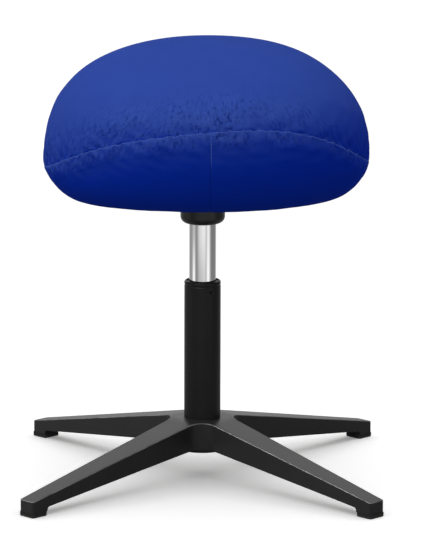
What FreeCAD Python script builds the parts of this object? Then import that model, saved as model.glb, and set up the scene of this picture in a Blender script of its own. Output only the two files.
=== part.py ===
import FreeCAD, Part
import math
import os
from FreeCAD import Vector

os.makedirs("parts", exist_ok=True)

# Clearances
press_gap = 0.02        # between pieces pressed or clamped together
run_gap = 0.05          # radial, between pieces that turn or slide on each other
rest_gap = 0.1          # between faces that turn past each other under load
soft_gap = 0.3          # between cloth, foam and board
seam_gap = 0.4          # between two cloth panels
taper = math.tan(math.radians(1.4377))

# Star base
leg_count = 4
leg_reach = 250.7       # axis to the end face of a leg
leg_tip_w = 20.3
leg_root_w = 34.1       # width at leg_root_at
leg_root_at = 45.0
hub_top = 63.0
hub_bottom = 34.6
hub_flat = 27.7         # the top starts to slope here
hub_blend = 60.0
notch_r = 21.0
boss_r = 27.0
boss_bottom = 29.6
tip_top = 16.9
tip_corner_r = 3.0
under_tip = 8.8         # height of a leg's underside at its foot block
foot_len = 19.4
foot_fillet = 3.5
leg_edge_r = 1.2
leg_wall = 3.5
leg_skin = 4.0
rib_w = 3.0
rib_at = (100.0, 165.0)

# Glides
glide_h = 4.6
glide_over = 0.5        # how far a glide stands past its foot block
glide_stem_r = 3.0
glide_stem_h = 6.0

# Stand tube
stand_r = 19.0
stand_wall = 2.0
stand_top = 208.7
stand_low = 31.0
stand_floor = 33.0
stand_floor_t = 3.0
stand_step = 66.0       # the bore narrows below this height
stand_low_bore_r = 15.5
stand_seat_r = 18.7     # taper radius at the hub's top
rim_r = 1.9
crease_at = 204.2
crease_w = 2.4
crease_d = 0.5
dimple_at = 198.4
dimple_turn = -62.2     # first dimple, degrees from +X
dimple_r = 3.0
dimple_d = 0.8
dimple_count = 3

# Guide bush
bush_low = 145.0
bush_top = 207.5

# Gas spring
tube_r = 14.0
tube_wall = 2.0
tube_low = 105.0
tube_top = 304.0
tube_lip = 1.5
tube_lip_r = 10.5
taper_from = 276.0
guide_len = 10.0
seal_len = 3.4
valve_len = 20.0
pin_r = 4.0
pin_rise = 8.0          # release pin above the tube's top
pin_len = 18.0
pin_dome_r = 8.0
pin_depth = 6.0         # room under the pin in its bore
rod_r = 5.0
rod_foot_r = 4.0
rod_low = 27.0
piston_low = 162.0
piston_h = 12.0
piston_gap = 0.3
piston_ring_h = 4.0
piston_ring_d = 1.8
piston_stub_r = 3.5
nut_h = 5.0
nut_af = 13.0
clip_t = 1.2
clip_r = 7.0
clip_groove_r = 3.2
clip_washer_t = 1.3
clip_washer_r = 9.0

# Thrust bearing
race_t = 2.2
race_r = 12.0
ball_r = 2.0
ball_pcr = 8.4
ball_count = 10
cage_t = 1.6
cage_in_r = 5.8
cage_out_r = 11.2
bump_h = 5.1
bump_r = 10.0

# Socket, collar and mounting plate
socket_r = 18.0
socket_low = 275.0
socket_top = 301.0
plate_r = 44.0
plate_t = 2.5
collar_r = 23.2
collar_low = 269.4
collar_round_h = 6.5
collar_round_w = 8.3
collar_floor = 5.0
collar_bore_gap = 0.4
collar_gap = 0.3

# Bolts
bolt_at = 25.0
bolt_r = 3.0
bolt_head_r = 5.0
bolt_head_h = 3.0
bolt_hex = 4.0
bolt_len = 15.0         # shank above the washer
washer_r = 6.0
washer_t = 1.2
tnut_r = 4.0
tnut_len = 10.0
tnut_flange_r = 7.0
tnut_flange_t = 1.2

# Release lever
pivot_y = 36.0
pivot_z = 304.0
pivot_r = 2.5
lever_w = 10.0
lever_t = 4.0
lever_post = 5.0
lever_eye_r = 5.5
lever_arm_z = 284.0
lever_end = 125.0
lever_over = 5.0        # finger past the pin's axis
lever_turn = 5.5        # degrees
finger_gap = 0.15       # between the finger and the pin's dome
ear_t = 3.0
ear_len = 14.0
ear_h = 13.0
slot_gap = 1.5
grip_w = 28.0
grip_t = 9.0
grip_from = 108.0
grip_to = 150.0
grip_round = 3.0

# Seat
seat_low = 296.9
seat_high = 462.2       # where the crown's curve would close
crown_cut = 1.2         # flat left at the very top
half_left = 164.9
half_right = 172.5
half_front = 160.0
half_back = 160.0
wide_left = 334.6       # height of the widest point on each side
wide_right = 338.4
wide_front = 388.1
wide_back = 388.1
flat_left = 131.0       # half widths of the flat underside
flat_right = 135.8
flat_front = 85.0
flat_back = 85.0
full_top_x = 2.37       # fullness of each curve: 2 is an ellipse
full_top_y = 2.09
full_low_left = 1.49
full_low_right = 1.65
full_low_y = 1.89
levels = 8              # ovals below and above the middle height
cloth_t = 2.0
seam_points = ((-190.0, 303.0), (-111.0, 364.0), (10.0, 391.0), (103.0, 383.5), (190.0, 316.0))
centre_seam_x = 8.0
board_t = 12.0
board_half_x = 122.0
board_half_y = 78.0
hole_r = 20.0           # opening in board and cloth round the socket
slot_half = 12.5        # opening in board and cloth for the lever
slot_end = 47.0
pocket_top = 323.0      # hollow in the foam above the lever

Z = Vector(0, 0, 1)
ORIGIN = Vector(0, 0, 0)


def write(node, shape):
    shape.exportStep("parts/%s.step" % node)


def rod(radius, low, high, x=0.0, y=0.0):
    return Part.makeCylinder(radius, high - low, Vector(x, y, low))


def ring(outer, inner, low, high):
    return rod(outer, low, high).cut(rod(inner, low - 1, high + 1))


def block(x0, x1, y0, y1, z0, z1):
    return Part.makeBox(x1 - x0, y1 - y0, z1 - z0, Vector(x0, y0, z0))


def turned(points):
    corners = [Vector(r, 0, z) for r, z in points]
    face = Part.Face(Part.makePolygon(corners + corners[:1]))
    return face.revolve(ORIGIN, Z, 360)


def fused(shapes):
    result = shapes[0]
    for shape in shapes[1:]:
        result = result.fuse(shape)
    return result.removeSplitter()


def hexagon(across, low, high, x=0.0, y=0.0):
    radius = across / math.sqrt(3)
    angles = [math.radians(60 * i) for i in range(6)]
    corners = [Vector(x + radius * math.cos(a), y + radius * math.sin(a), low) for a in angles]
    return Part.Face(Part.makePolygon(corners + corners[:1])).extrude(Vector(0, 0, high - low))


# Star base: plan outline, side profile of one leg, then the four legs joined
leg_slope = (hub_top - tip_top) / (leg_reach - hub_flat)
leg_narrow = (leg_root_w - leg_tip_w) / 2 / (leg_reach - leg_root_at)
foot_in = leg_reach - foot_len
under_slope = (hub_bottom - under_tip) / (foot_in - boss_r)


def leg_half(reach):
    return leg_tip_w / 2 + leg_narrow * (leg_reach - reach)


def leg_top(reach):
    return hub_top - leg_slope * max(0.0, reach - hub_flat)


def along(turn, reach, side, z=0.0):
    c = math.cos(turn)
    s = math.sin(turn)
    return Vector(reach * c - side * s, reach * s + side * c, z)


def star_plan():
    half_turn = math.pi / leg_count
    notch = leg_half(0.0) / (math.sin(half_turn) + leg_narrow * math.cos(half_turn))
    corners = []
    for i in range(leg_count):
        turn = (2 * i + 1) * half_turn
        corners.append(along(turn, leg_reach, -leg_tip_w / 2))
        corners.append(along(turn, leg_reach, leg_tip_w / 2))
        corners.append(along(turn + half_turn, notch, 0.0))
    prism = Part.Face(Part.makePolygon(corners + corners[:1])).extrude(Vector(0, 0, hub_top))
    upright = [e for e in prism.Edges if abs(e.tangentAt(e.FirstParameter).z) > 0.99]
    notches = [e for e in upright if math.hypot(e.CenterOfMass.x, e.CenterOfMass.y) < leg_reach / 2]
    prism = prism.makeFillet(notch_r, notches)
    tips = [e for e in prism.Edges if abs(e.tangentAt(e.FirstParameter).z) > 0.99]
    tips = [e for e in tips if math.hypot(e.CenterOfMass.x, e.CenterOfMass.y) > leg_reach / 2]
    return prism.makeFillet(tip_corner_r, tips)


def leg_profile(turn):
    lean = math.atan(leg_slope)
    run = hub_blend * math.tan(lean / 2)
    flat_end = hub_flat - run
    slope_from = hub_flat + run * math.cos(lean)
    mid_r = flat_end + hub_blend * math.sin(lean / 2)
    mid_z = hub_top - hub_blend * (1 - math.cos(lean / 2))
    dip = math.atan(under_slope)
    run_in = foot_fillet * math.tan((math.pi / 2 - dip) / 2)
    fillet_r = foot_in - run_in * math.cos(dip)
    fillet_z = under_tip + run_in * math.sin(dip)
    wall_z = under_tip - run_in
    half = (math.pi / 2 - dip) / 2
    far = foot_fillet / math.cos(half) - foot_fillet
    arc_r = foot_in - far * math.cos(half - dip)
    arc_z = under_tip - far * math.sin(half - dip)

    def at(reach, z):
        return along(turn, reach, -leg_reach, z)

    edges = [
        Part.makeLine(at(0, hub_top), at(flat_end, hub_top)),
        Part.Arc(at(flat_end, hub_top), at(mid_r, mid_z), at(slope_from, leg_top(slope_from))).toShape(),
        Part.makeLine(at(slope_from, leg_top(slope_from)), at(leg_reach, tip_top)),
        Part.makeLine(at(leg_reach, tip_top), at(leg_reach, glide_h)),
        Part.makeLine(at(leg_reach, glide_h), at(foot_in, glide_h)),
        Part.makeLine(at(foot_in, glide_h), at(foot_in, wall_z)),
        Part.Arc(at(foot_in, wall_z), at(arc_r, arc_z), at(fillet_r, fillet_z)).toShape(),
        Part.makeLine(at(fillet_r, fillet_z), at(boss_r, hub_bottom)),
        Part.makeLine(at(boss_r, hub_bottom), at(0, hub_bottom)),
        Part.makeLine(at(0, hub_bottom), at(0, hub_top)),
    ]
    face = Part.Face(Part.Wire(edges))
    return face.extrude(along(turn, 0, 2 * leg_reach))


def leg_hollow(turn, start, end):
    def section(reach):
        half = leg_half(reach) - leg_wall
        top = leg_top(reach) - leg_skin
        corners = [along(turn, reach, -half, -1), along(turn, reach, half, -1)]
        corners += [along(turn, reach, half, top), along(turn, reach, -half, top)]
        return Part.makePolygon(corners + corners[:1])

    return Part.makeLoft([section(start), section(end)], True, True)


def on_top_rim(edge):
    middle = edge.valueAt((edge.FirstParameter + edge.LastParameter) / 2)
    angle = math.atan2(middle.y, middle.x)
    sector = 2 * math.pi / leg_count
    turn = (math.floor(angle / sector) + 0.5) * sector
    out = math.hypot(middle.x, middle.y)
    reach = out * math.cos(angle - turn)
    side = abs(out * math.sin(angle - turn))
    high = abs(middle.z - leg_top(reach)) < 0.6
    return high and (side > leg_half(reach) - 0.5 or reach > leg_reach - tip_corner_r)


def star_base():
    plan = star_plan()
    legs = []
    for i in range(leg_count):
        turn = (2 * i + 1) * math.pi / leg_count
        sector = Part.makeCylinder(2 * leg_reach, hub_top, ORIGIN, Z, 360 / leg_count)
        sector.rotate(ORIGIN, Z, i * 360 / leg_count)
        legs.append(plan.common(sector).common(leg_profile(turn)))
    body = fused(legs)
    tops = [e for e in body.Edges if on_top_rim(e)]
    body = body.makeFillet(leg_edge_r, tops)
    body = body.fuse(rod(boss_r, boss_bottom, hub_top - 1)).removeSplitter()
    walls = (boss_r + leg_wall,) + rib_at + (foot_in - leg_wall,)
    for i in range(leg_count):
        turn = (2 * i + 1) * math.pi / leg_count
        for start, end in zip(walls, walls[1:]):
            body = body.cut(leg_hollow(turn, start + rib_w / 2, end - rib_w / 2))
        stem = along(turn, leg_reach - foot_len / 2, 0)
        body = body.cut(rod(glide_stem_r + press_gap, 0, glide_h + glide_stem_h + 0.5, stem.x, stem.y))
    low_r = stand_seat_r - (hub_top - boss_bottom + 1) * taper + press_gap
    top_r = stand_seat_r + taper + press_gap
    return body.cut(Part.makeCone(low_r, top_r, hub_top - boss_bottom + 2, Vector(0, 0, boss_bottom - 1)))


write("star_base", star_base())


# Glides: a pad under each foot block, with a stem pressed into it
def glide(turn):
    middle = leg_reach - foot_len / 2
    half_l = foot_len / 2 + glide_over
    half_w = leg_tip_w / 2 + glide_over
    corners = [along(turn, middle - half_l, -half_w), along(turn, middle + half_l, -half_w)]
    corners += [along(turn, middle + half_l, half_w), along(turn, middle - half_l, half_w)]
    pad = Part.Face(Part.makePolygon(corners + corners[:1])).extrude(Vector(0, 0, glide_h - press_gap))
    upright = [e for e in pad.Edges if abs(e.tangentAt(e.FirstParameter).z) > 0.99]
    pad = pad.makeFillet(tip_corner_r, upright)
    low = [e for e in pad.Edges if abs(e.BoundBox.ZMax) < 0.01]
    pad = pad.makeChamfer(0.8, low)
    stem = along(turn, middle, 0)
    return fused([pad, rod(glide_stem_r, 1.0, glide_h + glide_stem_h, stem.x, stem.y)])


glide_nodes = ("glide_back_right", "glide_back_left", "glide_front_left", "glide_front_right")
for number, node in enumerate(glide_nodes):
    write(node, glide((2 * number + 1) * math.pi / leg_count))


# Stand tube: tapered foot wedged in the hub, rolled rim, crease ring, punched dimples
def stand_tube():
    bore = stand_r - stand_wall
    foot_r = stand_seat_r - (hub_top - stand_low) * taper
    floor_top = stand_floor + stand_floor_t
    tube = turned((
        (foot_r, stand_low),
        (stand_seat_r, hub_top),
        (stand_seat_r, hub_top + press_gap),
        (stand_r, hub_top + press_gap),
        (stand_r, stand_top),
        (bore, stand_top),
        (bore, stand_step),
        (stand_low_bore_r, stand_step - 1.5),
        (stand_low_bore_r, floor_top),
        (rod_foot_r + 0.6, floor_top),
        (rod_foot_r + 0.6, stand_floor),
        (stand_low_bore_r - 1.0, stand_floor),
        (stand_low_bore_r - 1.0, stand_low),
    ))
    rim = [e for e in tube.Edges if e.BoundBox.ZMin > stand_top - 0.01 and e.BoundBox.XMax > stand_r - 0.01]
    tube = tube.makeFillet(rim_r, rim)
    half_w = crease_w / 2 * (1 + 1 / crease_d)
    sides = [(stand_r + 1, crease_at - half_w), (stand_r + 1, crease_at + half_w)]
    tube = tube.cut(turned(sides + [(stand_r - crease_d, crease_at)]))
    for i in range(dimple_count):
        turn = math.radians(dimple_turn + i * 360 / dimple_count)
        middle = along(turn, stand_r + dimple_r - dimple_d, 0, dimple_at)
        tube = tube.cut(Part.makeSphere(dimple_r, middle))
    return tube


write("stand_tube", stand_tube())
write("guide_bush", ring(stand_r - stand_wall - press_gap, tube_r + run_gap, bush_low, bush_top))

# Thrust bearing on the stand tube's floor, and the bump stop over it
race_low = stand_floor + stand_floor_t
race_mid = race_low + race_t
race_high = race_mid + 2 * ball_r
rod_step = race_high + race_t
ball_z = race_mid + ball_r
ball_turns = [i * 2 * math.pi / ball_count for i in range(ball_count)]
balls = [Part.makeSphere(ball_r - run_gap, along(a, ball_pcr, 0, ball_z)) for a in ball_turns]
cage = ring(cage_out_r, cage_in_r, ball_z - cage_t / 2, ball_z + cage_t / 2)
for a in ball_turns:
    pocket = along(a, ball_pcr, 0)
    cage = cage.cut(rod(ball_r + run_gap, race_low, rod_step, pocket.x, pocket.y))
write("lower_race", ring(race_r, rod_foot_r + 0.6, race_low + press_gap, race_mid))
write("ball_cage", cage)
write("bearing_balls", Part.makeCompound(balls))
write("upper_race", ring(race_r, rod_foot_r + press_gap, race_high, rod_step - press_gap))
write("bump_stop", ring(bump_r, rod_r + press_gap, rod_step, rod_step + bump_h))


# Piston rod: stands on the upper race, its narrow foot held under the hub by a clip
def piston_rod():
    clip_top = stand_floor - rest_gap - clip_washer_t
    clip_low = clip_top - clip_t
    stub_top = piston_low + piston_h + nut_h
    return turned((
        (0, rod_low),
        (rod_foot_r - 0.6, rod_low),
        (rod_foot_r, rod_low + 0.6),
        (rod_foot_r, clip_low - press_gap),
        (clip_groove_r, clip_low - press_gap),
        (clip_groove_r, clip_top + press_gap),
        (rod_foot_r, clip_top + press_gap),
        (rod_foot_r, rod_step),
        (rod_r, rod_step),
        (rod_r, piston_low),
        (piston_stub_r, piston_low),
        (piston_stub_r, stub_top),
        (0, stub_top),
    ))


def rod_clip():
    top = stand_floor - rest_gap - clip_washer_t
    clip = ring(clip_r, clip_groove_r + press_gap, top - clip_t, top)
    mouth = clip_groove_r * 0.8
    return clip.cut(block(-mouth, mouth, 0, 2 * clip_r, top - 2 * clip_t, top + clip_t))


piston_r = tube_r - tube_wall - piston_gap
groove_r = piston_r - piston_ring_d
ring_low = piston_low + (piston_h - piston_ring_h) / 2
ring_high = ring_low + piston_ring_h
washer_top = stand_floor - rest_gap
piston = ring(piston_r, piston_stub_r + press_gap, piston_low + press_gap, piston_low + piston_h)
piston = piston.cut(ring(piston_r + 1, groove_r, ring_low, ring_high))
piston_nut = hexagon(nut_af, piston_low + piston_h + press_gap, piston_low + piston_h + nut_h)
piston_nut = piston_nut.cut(rod(piston_stub_r + press_gap, piston_low, piston_low + piston_h + 2 * nut_h))
write("piston_rod", piston_rod())
write("piston", piston)
write("piston_nut", piston_nut)
seal_r = tube_r - tube_wall - run_gap
write("piston_seal", ring(seal_r, groove_r + press_gap, ring_low + press_gap, ring_high - press_gap))
washer_under = washer_top - clip_washer_t + press_gap
write("clip_washer", ring(clip_washer_r, rod_foot_r + press_gap, washer_under, washer_top))
write("rod_clip", rod_clip())

# Pressure tube: rolled lip at the bottom, taper at the top
bore_r = tube_r - tube_wall
tube_end_r = tube_r - (tube_top - taper_from) * taper
pressure_tube = turned((
    (tube_lip_r, tube_low),
    (tube_r - 1, tube_low),
    (tube_r, tube_low + 1),
    (tube_r, taper_from),
    (tube_end_r, tube_top),
    (bore_r, tube_top),
    (bore_r, tube_low + tube_lip),
    (tube_lip_r, tube_low + tube_lip),
))
write("pressure_tube", pressure_tube)
guide_low = tube_low + tube_lip + press_gap
guide_high = guide_low + guide_len
write("rod_guide", ring(bore_r - press_gap, rod_r + run_gap, guide_low, guide_high))
write("rod_seal", ring(bore_r - press_gap, rod_r + run_gap, guide_high + press_gap, guide_high + seal_len))

# Valve housing in the tube's top, with the release pin through it
pin_top = tube_top + pin_rise
pin_low = pin_top - pin_len
valve_floor = pin_low - pin_depth
valve = rod(bore_r - press_gap, tube_top - valve_len, tube_top)
valve = valve.cut(rod(pin_r + run_gap, valve_floor, tube_top + 1))


def release_pin():
    spread = math.asin(pin_r / pin_dome_r)
    crown = pin_top - pin_dome_r
    shoulder = Vector(pin_r, 0, crown + pin_dome_r * math.cos(spread))
    middle = Vector(pin_dome_r * math.sin(spread / 2), 0, crown + pin_dome_r * math.cos(spread / 2))
    tip = Vector(0, 0, pin_top)
    foot = Vector(0, 0, pin_low)
    edge = Vector(pin_r, 0, pin_low)
    edges = [Part.makeLine(foot, edge), Part.makeLine(edge, shoulder)]
    edges += [Part.Arc(shoulder, middle, tip).toShape(), Part.makeLine(tip, foot)]
    return Part.Face(Part.Wire(edges)).revolve(ORIGIN, Z, 360)


write("valve_housing", valve)
write("release_pin", release_pin())

# Taper socket and the round mounting plate welded to it
plate_low = seat_low - plate_t
low_r = tube_r + (taper_from - socket_low) * taper + press_gap
top_r = tube_r - (socket_top - taper_from) * taper + press_gap
socket = rod(socket_r, socket_low, socket_top)
socket = socket.cut(Part.makeCone(low_r, top_r, socket_top - socket_low, Vector(0, 0, socket_low)))
bolt_spots = [(sx * bolt_at, sy * bolt_at) for sx in (-1, 1) for sy in (-1, 1)]
lever_half = lever_w / 2
swing = (pivot_z - plate_low) * math.sin(math.radians(lever_turn))
post_y0 = pivot_y - lever_post / 2
post_y1 = pivot_y + lever_post / 2
plate = rod(plate_r, plate_low, seat_low - press_gap)
plate = plate.cut(rod(socket_r + press_gap, plate_low - 1, seat_low + 1))
slot = (-lever_half - slot_gap, lever_half + slot_gap, post_y0 - slot_gap, post_y1 + swing + slot_gap)
plate = plate.cut(block(*slot, plate_low - 1, seat_low + 1))
for x, y in bolt_spots:
    plate = plate.cut(rod(bolt_r + 0.2, plate_low - 1, seat_low + 1, x, y))
write("taper_socket", socket)
write("mounting_plate", plate)


# Collar: a cup over the socket, rounded underneath
def collar():
    bore = tube_r + collar_bore_gap
    inside = socket_r + collar_gap
    top = plate_low - press_gap
    round_top = collar_low + collar_round_h
    round_in = collar_r - collar_round_w
    lean = math.sqrt(0.5)
    mid = Vector(round_in + collar_round_w * lean, 0, round_top - collar_round_h * lean)
    path = [(collar_r, round_top), (collar_r, top), (inside, top), (inside, collar_low + collar_floor)]
    path += [(bore, collar_low + collar_floor), (bore, collar_low), (round_in, collar_low)]
    corners = [Vector(r, 0, z) for r, z in path]
    curve = Part.Arc(corners[-1], mid, corners[0]).toShape()
    edges = [Part.makeLine(a, b) for a, b in zip(corners, corners[1:])]
    return Part.Face(Part.Wire(edges + [curve])).revolve(ORIGIN, Z, 360)


write("collar", collar())

# Lever bracket, pin, lever and grip, at the back under the seat
ear_in = lever_half + soft_gap
ear_y0 = pivot_y - ear_len / 2
ear_y1 = pivot_y + ear_len / 2
ears = [block(ear_in, ear_in + ear_t, ear_y0, ear_y1, seat_low, seat_low + ear_h)]
ears.append(block(-ear_in - ear_t, -ear_in, ear_y0, ear_y1, seat_low, seat_low + ear_h))
pin_half = ear_in + ear_t + 1.5


def cross_pin(radius, half):
    return Part.makeCylinder(radius, 2 * half, Vector(-half, pivot_y, pivot_z), Vector(1, 0, 0))


bracket = Part.makeCompound([e.cut(cross_pin(pivot_r + press_gap, 2 * pin_half)) for e in ears])
finger_z = pin_top + finger_gap
finger_top = finger_z + lever_t
lever = fused([
    block(-lever_half, lever_half, -lever_over, post_y1, finger_z, finger_top),
    block(-lever_half, lever_half, post_y0, post_y1, lever_arm_z, finger_top),
    block(-lever_half, lever_half, post_y0, lever_end, lever_arm_z, lever_arm_z + lever_t),
    cross_pin(lever_eye_r, lever_half),
])
lever = lever.cut(cross_pin(pivot_r + run_gap, lever_w))
grip_z = lever_arm_z + lever_t / 2
grip = block(-grip_w / 2, grip_w / 2, grip_from, grip_to, grip_z - grip_t / 2, grip_z + grip_t / 2)
grip = grip.makeFillet(grip_round, grip.Edges)
grip_hole = lever_half + press_gap
hole_low = lever_arm_z - press_gap
hole_high = lever_arm_z + lever_t + press_gap
grip = grip.cut(block(-grip_hole, grip_hole, 0, lever_end + press_gap, hole_low, hole_high))
write("lever_bracket", bracket)
write("lever_pin", cross_pin(pivot_r, pin_half))
write("release_lever", lever)
write("lever_grip", grip)


# Bolts, washers and T-nuts that hold the plate to the board
board_low = seat_low + cloth_t + rest_gap
board_high = board_low + board_t
washer_low = plate_low - washer_t


def bolt(x, y):
    head = rod(bolt_head_r, washer_low - bolt_head_h, washer_low - press_gap, x, y)
    head = head.makeFillet(1.5, [e for e in head.Edges if e.BoundBox.ZMax < washer_low - bolt_head_h + 0.01])
    shank = rod(bolt_r, washer_low - 1, washer_low + bolt_len, x, y)
    drive = hexagon(bolt_hex, washer_low - bolt_head_h - 1, washer_low - bolt_head_h + 1.6, x, y)
    return fused([head, shank]).cut(drive)


def washer(x, y):
    disc = rod(washer_r, washer_low, plate_low - press_gap, x, y)
    return disc.cut(rod(bolt_r + 0.2, washer_low - 1, plate_low + 1, x, y))


def t_nut(x, y):
    barrel = rod(tnut_r, board_high - tnut_len, board_high + 0.5, x, y)
    flange = rod(tnut_flange_r, board_high + press_gap, board_high + tnut_flange_t, x, y)
    return fused([barrel, flange]).cut(rod(bolt_r + press_gap, board_low, board_high + tnut_len, x, y))


write("plate_bolts", Part.makeCompound([bolt(x, y) for x, y in bolt_spots]))
write("plate_washers", Part.makeCompound([washer(x, y) for x, y in bolt_spots]))
write("t_nuts", Part.makeCompound([t_nut(x, y) for x, y in bolt_spots]))


# Seat form: ovals stacked from the flat underside to the crown, drawn in by the inset
def half_width(z, low, high, inset, widest, reach, flat, full_top, full_low):
    reach = reach - inset
    flat = min(flat, reach)
    if z >= widest:
        rise = (z - widest) / (high - widest)
        return reach * (1 - rise ** full_top) ** (1 / full_top)
    fall = (widest - z) / (widest - low)
    return flat + (reach - flat) * (1 - fall ** full_low) ** (1 / full_low)


def quarter(x_half, y_half, sx, sy, z):
    bend = Part.BezierCurve()
    bend.setPoles([Vector(sx * x_half, 0, z), Vector(sx * x_half, sy * y_half, z), Vector(0, sy * y_half, z)])
    bend.setWeight(2, math.sqrt(0.5))
    return bend.toShape()


def oval(z, low, high, inset):
    def half(*form):
        return half_width(z, low, high, inset, *form)

    left = half(wide_left, half_left, flat_left, full_top_x, full_low_left)
    right = half(wide_right, half_right, flat_right, full_top_x, full_low_right)
    front = half(wide_front, half_front, flat_front, full_top_y, full_low_y)
    back = half(wide_back, half_back, flat_back, full_top_y, full_low_y)
    edges = [quarter(right, back, 1, 1, z), quarter(left, back, -1, 1, z)]
    edges += [quarter(left, front, -1, -1, z), quarter(right, front, 1, -1, z)]
    return Part.Wire(Part.__sortEdges__(edges))


def seat_form(inset):
    low = seat_low + inset
    high = seat_high - inset
    middle = (wide_left + wide_right + wide_front + wide_back) / 4
    turns = [k * math.pi / 2 / levels for k in range(levels)]
    heights = [middle - math.cos(a) * (middle - low) for a in turns]
    heights += [middle + math.sin(a) * (high - middle) for a in turns]
    heights.append(high - crown_cut)
    return Part.makeLoft([oval(z, low, high, inset) for z in heights], True, False)


def openings(low, high):
    hole = rod(hole_r, low, high)
    return hole.fuse(block(-slot_half, slot_half, 0, slot_end, low, high))


def oval_block(x_half, y_half, low, high):
    signs = ((1, 1), (-1, 1), (-1, -1), (1, -1))
    edges = [quarter(x_half, y_half, sx, sy, low) for sx, sy in signs]
    return Part.Face(Part.Wire(Part.__sortEdges__(edges))).extrude(Vector(0, 0, high - low))


# Seat board: an oval of plywood with an opening for the mechanism
def seat_board():
    board = oval_block(board_half_x, board_half_y, board_low, board_high)
    board = board.cut(openings(board_low - 1, board_high + 1))
    for x, y in bolt_spots:
        board = board.cut(rod(tnut_r + press_gap, board_low - 1, board_high + 1, x, y))
    return board


# Foam core: moulded round the board, with a hollow over the lever
def foam_core():
    foam = seat_form(cloth_t + soft_gap)
    x_half = board_half_x + soft_gap
    y_half = board_half_y + soft_gap
    foam = foam.cut(oval_block(x_half, y_half, seat_low, board_high + soft_gap))
    foam = foam.cut(openings(seat_low, pocket_top))
    for x, y in bolt_spots:
        flange_top = board_high + tnut_flange_t + soft_gap
        foam = foam.cut(rod(tnut_flange_r + soft_gap, board_low, flange_top, x, y))
    return foam


# Cloth cover: a thin shell, parted along the long seam and the centre seam
def seam_side(shift, far):
    points = [Vector(x, -2 * half_front, z + shift) for x, z in seam_points]
    seam = Part.BSplineCurve()
    seam.interpolate(points)
    first = Vector(points[0].x, points[0].y, far)
    last = Vector(points[-1].x, points[-1].y, far)
    edges = [seam.toShape(), Part.makeLine(points[-1], last)]
    edges += [Part.makeLine(last, first), Part.makeLine(first, points[0])]
    face = Part.Face(Part.Wire(edges))
    return face.extrude(Vector(0, 2 * half_front + 2 * half_back, 0))


def covers():
    shell = seat_form(0.0).cut(seat_form(cloth_t))
    shell = shell.cut(openings(seat_low - 1, seat_low + cloth_t + 1))
    for x, y in bolt_spots:
        shell = shell.cut(rod(bolt_r + 0.3, seat_low - 1, seat_low + cloth_t + 1, x, y))
    top = shell.common(seam_side(seam_gap / 2, 2 * seat_high))
    lower = shell.common(seam_side(-seam_gap / 2, 0))
    wide = 2 * (half_left + half_right)
    left_end = centre_seam_x - seam_gap / 2
    right_end = centre_seam_x + seam_gap / 2
    left = lower.common(block(-wide, left_end, -wide, wide, 0, seat_high))
    right = lower.common(block(right_end, wide, -wide, wide, 0, seat_high))
    return top, left, right


write("seat_board", seat_board())
write("foam_core", foam_core())
top_cover, left_cover, right_cover = covers()
write("top_cover", top_cover)
write("lower_cover_left", left_cover)
write("lower_cover_right", right_cover)
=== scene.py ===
import math

import bpy
import numpy as np
from mathutils import Matrix, Vector


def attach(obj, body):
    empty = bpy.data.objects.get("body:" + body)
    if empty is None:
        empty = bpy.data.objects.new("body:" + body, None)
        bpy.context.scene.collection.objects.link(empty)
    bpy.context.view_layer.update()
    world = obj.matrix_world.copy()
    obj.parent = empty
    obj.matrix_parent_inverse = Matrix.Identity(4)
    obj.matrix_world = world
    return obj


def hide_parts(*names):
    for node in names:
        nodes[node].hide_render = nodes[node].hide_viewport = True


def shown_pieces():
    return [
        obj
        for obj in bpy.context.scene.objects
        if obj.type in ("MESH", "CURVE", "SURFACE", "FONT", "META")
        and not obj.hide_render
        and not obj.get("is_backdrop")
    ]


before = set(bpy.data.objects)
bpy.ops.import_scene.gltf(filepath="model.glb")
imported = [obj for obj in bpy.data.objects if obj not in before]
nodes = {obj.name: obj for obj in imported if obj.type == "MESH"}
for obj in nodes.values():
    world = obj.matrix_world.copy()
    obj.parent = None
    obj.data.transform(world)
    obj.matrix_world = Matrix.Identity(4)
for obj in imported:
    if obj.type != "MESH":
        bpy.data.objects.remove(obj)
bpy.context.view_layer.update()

scene = bpy.context.scene


# Star base. One aluminium die casting with four hollow, tapering legs, powder coated satin black.
# The hub is bored to the column's taper, so the stand tube is held by nothing but its own wedge.
# The coat is paler here and there along the upper edges: partly rubbed wear, partly a painted highlight.
class Wire:
    """A socket in a material's node tree; arithmetic on it adds Math nodes."""

    def __init__(self, tree, socket=None):
        self.tree = tree
        self.socket = socket

    def node(self, kind, settings={}, values={}, out=None):
        made = self.tree.nodes.new("ShaderNode" + kind)
        for name, value in settings.items():
            if name == "stops":
                for stop in value[2:]:
                    made.color_ramp.elements.new(stop[0])
                for element, stop in zip(made.color_ramp.elements, value):
                    element.position = stop[0]
                    element.color = stop[1]
            else:
                setattr(made, name, value)
        for name, value in values.items():
            into = next(s for s in made.inputs if name in (s.identifier, s.name))
            if isinstance(value, Wire):
                self.tree.links.new(value.socket, into)
            else:
                into.default_value = value
        given = [s for s in made.outputs if out in (None, s.identifier, s.name)]
        return Wire(self.tree, given[0])

    def maths(self, operation, *values):
        names = ("Value", "Value_001", "Value_002")
        return self.node("Math", {"operation": operation}, dict(zip(names, values)))

    def sine(self):
        return self.maths("SINE", self)

    def part(self, axis):
        return self.node("SeparateXYZ", {}, {"Vector": self}, axis)

    def spread(self, low, high, to_low=0.0, to_high=1.0, smooth=False):
        settings = {"interpolation_type": "SMOOTHSTEP" if smooth else "LINEAR"}
        values = {"Value": self, "From Min": low, "From Max": high, "To Min": to_low, "To Max": to_high}
        return self.node("MapRange", settings, values)

    def __add__(self, other):
        return self.maths("ADD", self, other)

    def __sub__(self, other):
        return self.maths("SUBTRACT", self, other)

    def __rsub__(self, other):
        return self.maths("SUBTRACT", other, self)

    def __mul__(self, other):
        return self.maths("MULTIPLY", self, other)

    __radd__ = __add__
    __rmul__ = __mul__


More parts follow.
